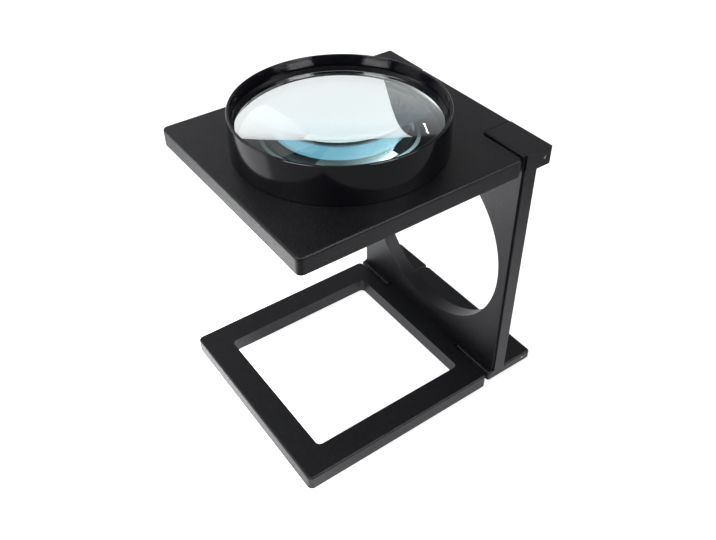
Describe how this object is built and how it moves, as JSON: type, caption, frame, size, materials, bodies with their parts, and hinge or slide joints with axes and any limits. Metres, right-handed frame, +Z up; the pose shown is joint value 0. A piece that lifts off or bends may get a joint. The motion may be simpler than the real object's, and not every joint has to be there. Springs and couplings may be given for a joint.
{
  "type": "folding stand magnifier",
  "caption": "Folding table magnifier: a window base, an upright panel with a round hole and a hinged plate that holds a large lens in a tall ring.",
  "frame": {"origin": "middle of the unfolded magnifier's footprint, on the table", "axes": "+X along the hinges to the side that is on the right seen from the open front, +Y from the open front to the hinges, +Z up"},
  "size_m": [0.112, 0.1396, 0.1555],
  "materials": {
    "moulded_black": "black, fine matte texture",
    "ring_black": "black, smooth and glossy",
    "lens_glass": "clear, polished",
    "pin_steel": "plain bright steel"
  },
  "bodies": {
    "base": {"base_frame": "moulded_black"},
    "upright": {"upright_panel": "moulded_black", "base_hinge_pin_left": "pin_steel", "base_hinge_pin_right": "pin_steel", "lens_hinge_pin_left": "pin_steel", "lens_hinge_pin_right": "pin_steel"},
    "lens_carrier": {"lens_plate": "moulded_black", "lens_ring": "ring_black", "retaining_ring": "ring_black", "magnifying_lens": "lens_glass"}
  },
  "joints": [
    {"name": "upright_fold", "type": "hinge", "parent": "base", "child": "upright", "pos_m": [0, 0.0646, 0.0049], "axis": [-1, 0, 0], "range_deg": [0, 270]},
    {"name": "lens_plate_fold", "type": "hinge", "parent": "upright", "child": "lens_carrier", "pos_m": [0, 0.0553, 0.1338], "axis": [-1, 0, 0], "range_deg": [0, 270]}
  ]
}
